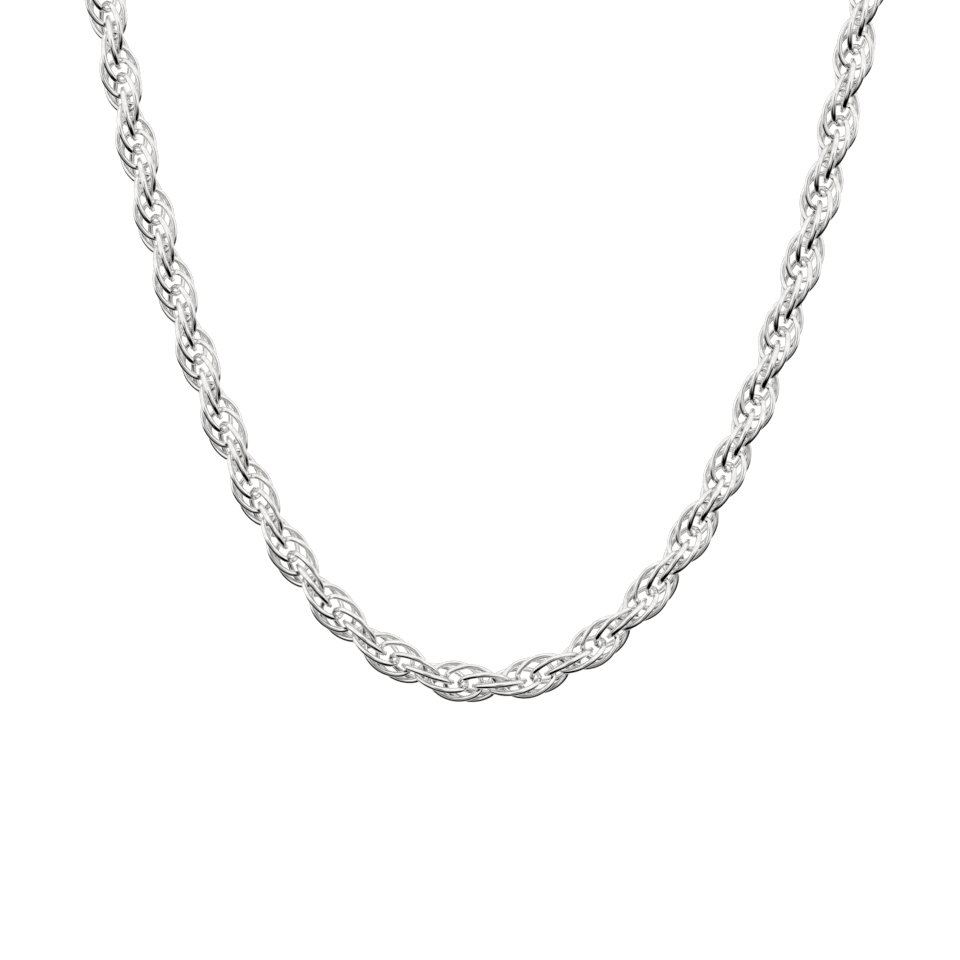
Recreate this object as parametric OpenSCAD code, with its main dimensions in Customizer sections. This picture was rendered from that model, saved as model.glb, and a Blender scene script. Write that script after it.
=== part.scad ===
// Loose-rope chain necklace in polished silver, laid out flat in an open U.
// Every link is a plain oval ring. Each one passes through the three links before it and the
// three after it, and is turned a little further round the chain's own line, so that the links
// close up into a rope. Ten links make one full turn.
// The chain follows one catenary. Its right end carries a lobster clasp, its left end a ring.
// Units are millimetres, +Z is up, and the links rest on the plane z = 0.

/* [Link] */
// Distance from one link to the next along the chain
pitch = 2.0; // [1.95:0.01:2.05]
// Thickness of the link wire
wire = 0.8; // [0.6:0.05:0.8]
// How much longer a link's hole is than three pitches
play = 0.2; // [0.18:0.01:0.22]
// Width of a link over its wire
link_w = 5.8; // [5.7:0.05:5.85]

/* [Rope] */
// Turn of the link at the front of the necklace about the chain's line, in degrees
front_turn = 57; // [52:1:62]
// Radius of the bend at the front of the necklace
front_bend = 22.35; // [22:0.05:40]

/* [End rings] */
// Radius of the two jump rings, to the middle of their wire
jump_r = 1.95; // [1.9:0.01:2.0]
// Thickness of the jump rings' wire
jump_wire = 0.9; // [0.7:0.05:0.9]
// Radius of the ring that the clasp hooks into, to the middle of its wire
end_ring_r = 2.5; // [2.4:0.05:2.6]
// Thickness of that ring's wire
end_ring_wire = 1.2; // [1.0:0.05:1.2]

/* [Clasp] */
// Radius of the clasp's loop, to the middle of its bar
loop_r = 2.7; // [2.65:0.01:2.75]
// Width of the clasp's bar
bar_w = 1.7; // [1.6:0.05:1.8]
// Thickness of the clasp
clasp_t = 2.4; // [2.3:0.05:2.5]
// Distance from the clasp's eye to the middle of its loop
clasp_reach = 8.4; // [8.3:0.05:8.6]

/* [Hidden] */
$fn = 64;
silver = [0.87, 0.88, 0.89];
steel = [0.62, 0.63, 0.66];

// Links and the groups they are modelled in: five links are half a turn of the rope.
half_turn = 5;
link_turn = 180 / half_turn;
groups_per_side = 25;
first_link = -groups_per_side * half_turn - 1;
last_link = groups_per_side * half_turn + 3;
link_hole = 3 * pitch + play;
axis_z = link_w / 2;

// A link is an oval of four arcs, two round ends and two flatter sides. The middle of an end's
// arc, the link's own middle and the middle of a side's arc make a 3-4-5 triangle.
half_l = (link_hole + wire) / 2;
half_w = (link_w - wire) / 2;
end_x = 1.5 * (half_l - half_w);
side_y = 2 * (half_l - half_w);
end_r = half_l - end_x;
side_r = half_w + side_y;

// End rings: how far out each one's middle stands from the link or ring that holds it.
end_play = 0.15;
jump_x = link_hole / 2 + jump_r - jump_wire / 2 - end_play;
end_ring_x = jump_x + jump_r - jump_wire / 2 - end_ring_wire / 2 - 0.1;
end_ring_tilt = asin((axis_z - end_ring_wire / 2 - 0.03) / (2 * end_ring_r));

// Clasp: eye at its origin, +X towards the nose, thickness along Z.
eye_r = 1.9;
eye_hole_r = 1.15;
eye_t = 1.2;
eye_x = jump_x + jump_r + 0.4;
neck_t = 2.0;
loop_outer = loop_r + bar_w / 2;
clasp_tilt = asin((axis_z - clasp_t / 2 - 0.05) / (clasp_reach + loop_outer));

// Lever: pivot on the loop's shoulder, tip swung inwards under the nose.
pivot = [clasp_reach + 3.2 * cos(160), 3.2 * sin(160)];
boss_r = 1.0;
pin_r = 0.42;
tongue_t = 0.9;
slot_t = 1.1;
sweep_r = 4.7;
tip_gap = 0.12;

// Lengths run along the chain from the front of the necklace, positive to the right.
function along(i) = i * pitch;
function curve_x(s) = front_bend * ln(s / front_bend + sqrt(pow(s / front_bend, 2) + 1));
function curve_y(s) = sqrt(front_bend * front_bend + s * s) - front_bend;
function heading(s) = atan(s / front_bend);
top_y = curve_y(along(last_link)) + eye_x + clasp_reach + loop_outer;
middle_y = (top_y - axis_z) / 2;

function two_digits(n) = n < 10 ? str("0", n) : str(n);
function group_name(g) =
    g == 0 ? "links_front" : str(g < 0 ? "links_left_" : "links_right_", two_digits(abs(g)));

// Places its children at a length along the chain, with +X along the chain.
module on_chain(s) {
    translate([curve_x(s), curve_y(s) - middle_y, axis_z])
        rotate([0, 0, heading(s)])
            children();
}

module past_left_end() {
    on_chain(along(first_link))
        rotate([0, 0, 180])
            children();
}

module past_right_end() {
    on_chain(along(last_link))
        children();
}

module in_clasp_frame() {
    past_right_end()
        translate([eye_x, 0, 0])
            rotate([0, clasp_tilt, 0])
                children();
}

module round_ring(r, d) {
    rotate_extrude()
        translate([r, 0])
            circle(d = d);
}

// The part of a ring of link wire inside a wedge with its point at the ring's middle.
module wire_arc(r, wedge) {
    intersection() {
        round_ring(r, wire);
        linear_extrude(2 * wire, center = true)
            polygon(concat([[0, 0]], wedge));
    }
}

module oval_ring() {
    for (turn = [0, 180])
        rotate([0, 0, turn]) {
            translate([end_x, 0, 0])
                wire_arc(end_r, [[3, -4], [3, 4]]);
            translate([0, -side_y, 0])
                wire_arc(side_r, [[4.5, 6], [-4.5, 6]]);
        }
}

module link(i) {
    on_chain(along(i))
        rotate([front_turn + link_turn * i, 0, 0])
            oval_ring();
}

// Five linked rings, half a turn of the rope.
module link_group(g) {
    color(silver)
        for (i = [g * half_turn - 1 : g * half_turn + 3])
            link(i);
}

module jump_ring() {
    color(silver)
        translate([jump_x, 0, 0])
            rotate([90, 0, 0])
                round_ring(jump_r, jump_wire);
}

module jump_ring_left() {
    past_left_end()
        jump_ring();
}

module jump_ring_right() {
    past_right_end()
        jump_ring();
}

// The ring that the clasp hooks into, one side held up by its jump ring.
module end_ring() {
    color(silver)
        past_left_end()
            translate([end_ring_x, 0, 0])
                rotate([0, end_ring_tilt, 0])
                    translate([end_ring_r, 0, 0])
                        round_ring(end_ring_r, end_ring_wire);
}

// A stretch of the clasp's loop, a bar with round edges, between two angles.
module loop_arc(from, to) {
    translate([clasp_reach, 0, 0])
        rotate([0, 0, from])
            rotate_extrude(angle = to - from)
                translate([loop_r, 0])
                    union() {
                        square([bar_w, clasp_t - bar_w], center = true);
                        for (side = [-1, 1])
                            translate([0, side * (clasp_t - bar_w) / 2])
                                circle(d = bar_w);
                    }
}

module at_pivot() {
    translate([pivot[0], pivot[1], 0])
        children();
}

module disc(r, t) {
    cylinder(r = r, h = t, center = true);
}

// Hook, neck and eye in one casting, slotted for the lever and drilled for its pin.
module clasp_body() {
    color(silver)
        in_clasp_frame()
            difference() {
                union() {
                    loop_arc(178, 420);
                    disc(eye_r, eye_t);
                    linear_extrude(neck_t, center = true)
                        polygon([[1.3, -1.0], [5.3, -1.75], [6.2, -1.2], [6.2, 0.4], [5.2, 1.6], [1.3, 1.0]]);
                    at_pivot()
                        disc(boss_r, clasp_t);
                }
                disc(eye_hole_r, clasp_t + 1);
                at_pivot() {
                    disc(pin_r + 0.01, clasp_t + 1);
                    disc(1.75, slot_t);
                }
                // room for the lever's tip, all the way round its swing
                intersection() {
                    at_pivot()
                        disc(sweep_r + tip_gap, clasp_t + 1);
                    translate([clasp_reach, -1, -clasp_t])
                        cube([loop_outer + 1, loop_outer + 2, 2 * clasp_t]);
                }
                // pocket for the spring, open to the slot
                translate([2.6, 0.1, -slot_t / 2])
                    cube([2.6, 1.0, slot_t]);
            }
}

// Gate of the clasp with its tongue, thumb knob and the heel that the spring bears on.
module clasp_lever() {
    color(silver)
        in_clasp_frame()
            difference() {
                union() {
                    intersection() {
                        loop_arc(40, 139);
                        at_pivot()
                            disc(sweep_r, clasp_t + 1);
                    }
                    at_pivot() {
                        disc(0.95, tongue_t);
                        rotate([0, 0, 32])
                            translate([0, -0.55, -tongue_t / 2])
                                cube([1.6, 1.1, tongue_t]);
                        rotate([0, 0, 196])
                            translate([0, -0.18, -tongue_t / 2])
                                cube([1.3, 0.36, tongue_t]);
                    }
                    translate([clasp_reach, 0, 0])
                        rotate([0, 0, 130]) {
                            translate([loop_r, -0.45, -tongue_t / 2])
                                cube([1.6, 0.9, tongue_t]);
                            translate([loop_r + 1.6, 0, 0])
                                disc(0.62, 1.6);
                        }
                }
                at_pivot()
                    disc(pin_r + 0.05, clasp_t);
            }
}

module clasp_pin() {
    color(steel)
        in_clasp_frame()
            at_pivot()
                disc(pin_r, clasp_t);
}

// Leaf spring in the neck's pocket: its tip lies on the lever's heel.
module clasp_spring() {
    color(steel)
        in_clasp_frame()
            translate([2.65, 0.93, -0.4])
                cube([1.75, 0.14, 0.8]);
}

for (g = [-groups_per_side : groups_per_side])
    link_group(g);
jump_ring_left();
end_ring();
jump_ring_right();
clasp_body();
clasp_lever();
clasp_pin();
clasp_spring();
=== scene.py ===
"""A polished silver loose-rope chain necklace, laid out in an open U and seen from straight above.

Each group of CAD links is replaced by smooth ovals of the same size in the same places, with
the small unevenness of real links and a soldered joint on each one. The jump rings and the end
ring are replaced in the same way. The clasp keeps its CAD solids.
"""

import math
import random

import bpy
from mathutils import Matrix, Vector

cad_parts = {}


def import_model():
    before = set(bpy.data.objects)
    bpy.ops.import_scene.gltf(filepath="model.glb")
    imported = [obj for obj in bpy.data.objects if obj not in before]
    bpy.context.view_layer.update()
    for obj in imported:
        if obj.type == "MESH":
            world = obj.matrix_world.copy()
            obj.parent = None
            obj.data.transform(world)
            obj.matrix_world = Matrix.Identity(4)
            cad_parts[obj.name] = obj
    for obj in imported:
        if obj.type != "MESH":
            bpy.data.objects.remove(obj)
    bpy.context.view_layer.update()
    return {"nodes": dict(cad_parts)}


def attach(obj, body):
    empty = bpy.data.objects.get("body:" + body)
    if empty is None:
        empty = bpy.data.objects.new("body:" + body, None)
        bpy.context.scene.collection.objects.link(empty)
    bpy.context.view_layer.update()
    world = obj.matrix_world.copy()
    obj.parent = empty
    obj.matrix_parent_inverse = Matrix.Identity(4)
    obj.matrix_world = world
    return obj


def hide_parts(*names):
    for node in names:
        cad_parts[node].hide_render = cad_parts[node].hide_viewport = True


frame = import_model()
nodes = frame["nodes"]

# Driving sizes, in metres, the same as the CAD model's. A link's hole is three pitches long
# and a little play, and BEND is the radius of the chain's bend at the front. ARC_STEPS is the
# number of steps along each of a link's four arcs.
PITCH = 0.0020
WIRE = 0.0008
PLAY = 0.0002
LINK_W = 0.0058
BEND = 0.02235
HALF_L = (3 * PITCH + PLAY + WIRE) / 2
HALF_W = (LINK_W - WIRE) / 2
AXIS_Z = LINK_W / 2
HALF_TURN = 5
GROUPS = 25
LINK_TURN = math.radians(36)
FRONT_TURN = math.radians(57)
FRONT_Y = -0.125237
ARC_STEPS = 20

# End rings: radius to the middle of the wire, wire, and place past the last link's middle.
JUMP_R = 0.00195
JUMP_WIRE = 0.0009
JUMP_X = 0.00445
END_RING_R = 0.0025
END_RING_WIRE = 0.0012
END_RING_X = 0.00525
END_RING_TILT = math.radians(27)

# What the picture takes in: a square this wide, centred above the front of the chain.
PICTURE = 0.1317
PICTURE_X = -0.0007
PICTURE_ABOVE_FRONT = 0.02794
CAMERA_HEIGHT = 0.7


def add_camera():
    data = bpy.data.cameras.new("camera")
    data.sensor_width = 36
    data.lens = 36 * CAMERA_HEIGHT / PICTURE
    data.clip_end = 10
    camera = bpy.data.objects.new("camera", data)
    camera.location = (PICTURE_X, FRONT_Y + PICTURE_ABOVE_FRONT, AXIS_Z + CAMERA_HEIGHT)
    bpy.context.scene.collection.objects.link(camera)
    bpy.context.scene.camera = camera


# ---------------------------------------------------------------- materials


def new_material(name):
    material = bpy.data.materials.new(name)
    material.use_nodes = True
    tree = material.node_tree
    shader = tree.nodes["Principled BSDF"]
    return material, tree, shader


def noise(tree, scale, detail):
    """A socket with a soft random pattern that stays with the object."""
    coordinates = tree.nodes.new("ShaderNodeTexCoord")
    pattern = tree.nodes.new("ShaderNodeTexNoise")
    pattern.inputs["Scale"].default_value = scale
    pattern.inputs["Detail"].default_value = detail
    tree.links.new(coordinates.outputs["Object"], pattern.inputs["Vector"])
    return pattern.outputs["Fac"]


def between(tree, amount, low, high):
    """A socket that runs from low to high as amount runs from 0.3 to 0.7."""
    node = tree.nodes.new("ShaderNodeMapRange")
    node.inputs["From Min"].default_value = 0.3
    node.inputs["From Max"].default_value = 0.7
    node.inputs["To Min"].default_value = low
    node.inputs["To Max"].default_value = high
    tree.links.new(amount, node.inputs["Value"])
    return node.outputs["Result"]


def metal(name, dull, bright, polish, wear, grain):
    """Polished metal: dull is the colour of its faint film, polish to wear its roughness."""
    material, tree, shader = new_material(name)
    shader.inputs["Metallic"].default_value = 1
    film = tree.nodes.new("ShaderNodeMix")
    film.data_type = "RGBA"
    film.inputs[6].default_value = (*dull, 1)
    film.inputs[7].default_value = (*bright, 1)
    tree.links.new(between(tree, noise(tree, 900, 5), 0, 1), film.inputs[0])
    tree.links.new(film.outputs[2], shader.inputs["Base Color"])
    rough = between(tree, noise(tree, 2400, 4), polish, wear)
    tree.links.new(rough, shader.inputs["Roughness"])
    bump = tree.nodes.new("ShaderNodeBump")
    bump.inputs["Strength"].default_value = grain
    bump.inputs["Distance"].default_value = 0.00002
    tree.links.new(noise(tree, 2500, 3), bump.inputs["Height"])
    tree.links.new(bump.outputs["Normal"], shader.inputs["Normal"])
    return material


# ---------------------------------------------------------------- chain


def curve_point(s):
    return Vector((
        BEND * math.asinh(s / BEND),
        FRONT_Y + math.hypot(BEND, s) - BEND,
        AXIS_Z,
    ))


def on_chain(s):
    """Frame at a length along the chain from its front: X along the chain, Z up."""
    heading = math.atan2(s, BEND)
    return Matrix.Translation(curve_point(s)) @ Matrix.Rotation(heading, 4, "Z")


def oval_line(steps):
    """Points and outward directions round a link, an oval of four arcs in the XY plane."""
    end_x = 1.5 * (HALF_L - HALF_W)
    side_y = 2 * (HALF_L - HALF_W)
    end_r = HALF_L - end_x
    side_r = HALF_W + side_y
    meet = math.atan2(4, 3)
    line = []
    for half in (0, math.pi):
        for centre, radius, start, end in (
            (Vector((end_x, 0, 0)), end_r, -meet, meet),
            (Vector((0, -side_y, 0)), side_r, meet, math.pi - meet),
        ):
            turn = Matrix.Rotation(half, 4, "Z")
            for k in range(steps):
                angle = start + (end - start) * k / steps
                out = Vector((math.cos(angle), math.sin(angle), 0))
                line.append((turn @ (centre + radius * out), turn @ out))
    return line


def link_mesh_data(place, seam, wave, across=18):
    """Vertices and faces of one link: a wire round the oval, a little thicker at its seam."""
    line = oval_line(ARC_STEPS)
    up = Vector((0, 0, 1))
    points, faces = [], []
    for i, (middle, out) in enumerate(line):
        apart = min((i - seam) % len(line), (seam - i) % len(line))
        swell = 0.015 * math.exp(-((apart / 1.5) ** 2))
        drawn = 0.006 * math.sin(wave + 4 * math.pi * i / len(line)) - 0.006
        radius = WIRE / 2 * (1 + swell + drawn)
        for j in range(across):
            b = 2 * math.pi * j / across
            points.append(place @ (middle + radius * (math.cos(b) * out + math.sin(b) * up)))
    for i in range(len(line)):
        for j in range(across):
            n, m = (i + 1) % len(line), (j + 1) % across
            faces.append((
                i * across + j,
                n * across + j,
                n * across + m,
                i * across + m,
            ))
    return points, faces


def mesh_piece(name, points, faces):
    mesh = bpy.data.meshes.new(name)
    mesh.from_pydata(points, [], faces)
    mesh.polygons.foreach_set("use_smooth", [True] * len(mesh.polygons))
    piece = bpy.data.objects.new(name, mesh)
    bpy.context.scene.collection.objects.link(piece)
    return piece


def link_group(name, first, seed):
    wobble = random.Random(seed)
    points, faces = [], []
    for i in range(first, first + HALF_TURN):
        turn = FRONT_TURN + LINK_TURN * i + math.radians(wobble.uniform(-2.5, 2.5))
        place = on_chain(i * PITCH) @ Matrix.Rotation(turn, 4, "X")
        link_points, link_faces = link_mesh_data(
            place, seam=wobble.randrange(4 * ARC_STEPS), wave=wobble.uniform(0, 6)
        )
        start = len(points)
        points += link_points
        faces += [tuple(start + k for k in face) for face in link_faces]
    return mesh_piece(name, points, faces)


def chain(material):
    for node in sorted(n for n in nodes if n.startswith("links_")):
        if node == "links_front":
            g = 0
        else:
            g = int(node[-2:]) * (1 if "right" in node else -1)
        piece = link_group(node.replace("links", "rings"), g * HALF_TURN - 1, seed=g)
        piece.data.materials.append(material)
        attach(piece, node)
        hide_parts(node)


# ---------------------------------------------------------------- end rings and clasp


def round_ring_data(place, radius, wire, around=96, across=24):
    """Vertices and faces of a round ring about the Z axis of place, with a filed seam."""
    points, faces = [], []
    for i in range(around):
        a = 2 * math.pi * i / around
        thin = 1 - 0.03 * math.exp(-((min(i, around - i) / 1.2) ** 2))
        for j in range(across):
            b = 2 * math.pi * j / across
            r = radius + wire / 2 * thin * math.cos(b)
            h = wire / 2 * thin * math.sin(b)
            points.append(place @ Vector((r * math.cos(a), r * math.sin(a), h)))
            n, m = (i + 1) % around, (j + 1) % across
            faces.append((
                i * across + j,
                n * across + j,
                n * across + m,
                i * across + m,
            ))
    return points, faces


def end_rings(material):
    left = on_chain((-HALF_TURN * GROUPS - 1) * PITCH) @ Matrix.Rotation(math.pi, 4, "Z")
    right = on_chain((HALF_TURN * GROUPS + 3) * PITCH)
    upright = Matrix.Translation((JUMP_X, 0, 0)) @ Matrix.Rotation(math.pi / 2, 4, "X")
    leaning = (
        Matrix.Translation((END_RING_X, 0, 0))
        @ Matrix.Rotation(END_RING_TILT, 4, "Y")
        @ Matrix.Translation((END_RING_R, 0, 0))
    )
    for node, place, radius, wire in (
        ("jump_ring_left", left @ upright, JUMP_R, JUMP_WIRE),
        ("jump_ring_right", right @ upright, JUMP_R, JUMP_WIRE),
        ("end_ring", left @ leaning, END_RING_R, END_RING_WIRE),
    ):
        piece = mesh_piece(node + "_round", *round_ring_data(place, radius, wire))
        piece.data.materials.append(material)
        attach(piece, node)
        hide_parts(node)


def clasp(silver_material, steel_material):
    """The clasp keeps its CAD solids, with worn edges."""
    for name in ("clasp_body", "clasp_lever", "clasp_pin", "clasp_spring"):
        part = nodes[name]
        part.data.materials.clear()
        part.data.materials.append(steel_material if name == "clasp_spring" else silver_material)
        edges = part.modifiers.new("worn_edges", "BEVEL")
        edges.width = 0.00003 if name == "clasp_spring" else 0.00006
        edges.segments = 2
        edges.limit_method = "ANGLE"
        edges.angle_limit = math.radians(40)


# ---------------------------------------------------------------- studio


def smooth(tree, value, start, end):
    """A socket that goes smoothly from 0 where value is start to 1 where it is end."""
    node = tree.nodes.new("ShaderNodeMapRange")
    node.interpolation_type = "SMOOTHSTEP"
    node.inputs["From Min"].default_value = start
    node.inputs["From Max"].default_value = end
    tree.links.new(value, node.inputs["Value"])
    return node.outputs["Result"]


def calculate(tree, operation, *values):
    node = tree.nodes.new("ShaderNodeMath")
    node.operation = operation
    for socket, value in zip(node.inputs, values):
        if isinstance(value, (int, float)):
            socket.default_value = value
        else:
            tree.links.new(value, socket)
    return node.outputs[0]


def world():
    """A bright room, dark towards the picture's lower side and behind the camera."""
    studio = bpy.data.worlds.new("studio")
    bpy.context.scene.world = studio
    studio.use_nodes = True
    tree = studio.node_tree
    background = tree.nodes["Background"]
    coordinates = tree.nodes.new("ShaderNodeTexCoord")
    parts = tree.nodes.new("ShaderNodeSeparateXYZ")
    tree.links.new(coordinates.outputs["Generated"], parts.inputs[0])
    y = parts.outputs["Y"]
    z = parts.outputs["Z"]
    # the near wall, which draws a black line along the lower side of every wire
    low = calculate(tree, "MULTIPLY", smooth(tree, z, -0.46, -0.30), smooth(tree, z, 0.92, 0.62))
    dark_line = calculate(tree, "MULTIPLY", smooth(tree, y, -0.24, -0.36), low)
    # the dimmer space on that side of the room
    dim_side = calculate(
        tree, "MULTIPLY", smooth(tree, y, 0.0, -0.40), smooth(tree, z, -0.70, -0.40)
    )
    # the camera and its stand
    overhead = smooth(tree, z, 0.955, 0.98)
    # a grey band below the horizon, all round
    skirting = calculate(
        tree, "MULTIPLY", smooth(tree, z, -0.62, -0.50), smooth(tree, z, -0.10, -0.22)
    )
    light = calculate(tree, "MULTIPLY_ADD", skirting, -0.45, 1.0)
    for shade, depth in ((dim_side, -0.5), (dark_line, -1.0), (overhead, -0.9)):
        kept = calculate(tree, "MULTIPLY_ADD", shade, depth, 1.0)
        light = calculate(tree, "MULTIPLY", light, kept)
    seen = tree.nodes.new("ShaderNodeLightPath").outputs["Is Camera Ray"]
    shown = calculate(tree, "MAXIMUM", light, seen)
    background.inputs["Color"].default_value = (1, 1, 1, 1)
    tree.links.new(shown, background.inputs["Strength"])


def floor():
    bpy.ops.mesh.primitive_plane_add(size=6, location=(0, 0, 0))
    plane = bpy.context.object
    plane.name = "floor"
    material, tree, shader = new_material("white_floor")
    shader.inputs["Base Color"].default_value = (0.9, 0.9, 0.9, 1)
    shader.inputs["Roughness"].default_value = 0.9
    shader.inputs["Emission Color"].default_value = (1, 1, 1, 1)
    shader.inputs["Emission Strength"].default_value = 0.7
    plane.data.materials.append(material)
    plane.visible_glossy = False


add_camera()
world()
floor()
silver_material = metal(
    "polished_silver", dull=(0.80, 0.795, 0.78), bright=(0.97, 0.965, 0.955),
    polish=0.01, wear=0.03, grain=0.12,
)
steel_material = metal(
    "bright_steel", dull=(0.45, 0.45, 0.46), bright=(0.62, 0.62, 0.63),
    polish=0.12, wear=0.25, grain=0.4,
)
chain(silver_material)
end_rings(silver_material)
clasp(silver_material, steel_material)

scene = bpy.context.scene
scene.view_settings.view_transform = "Standard"
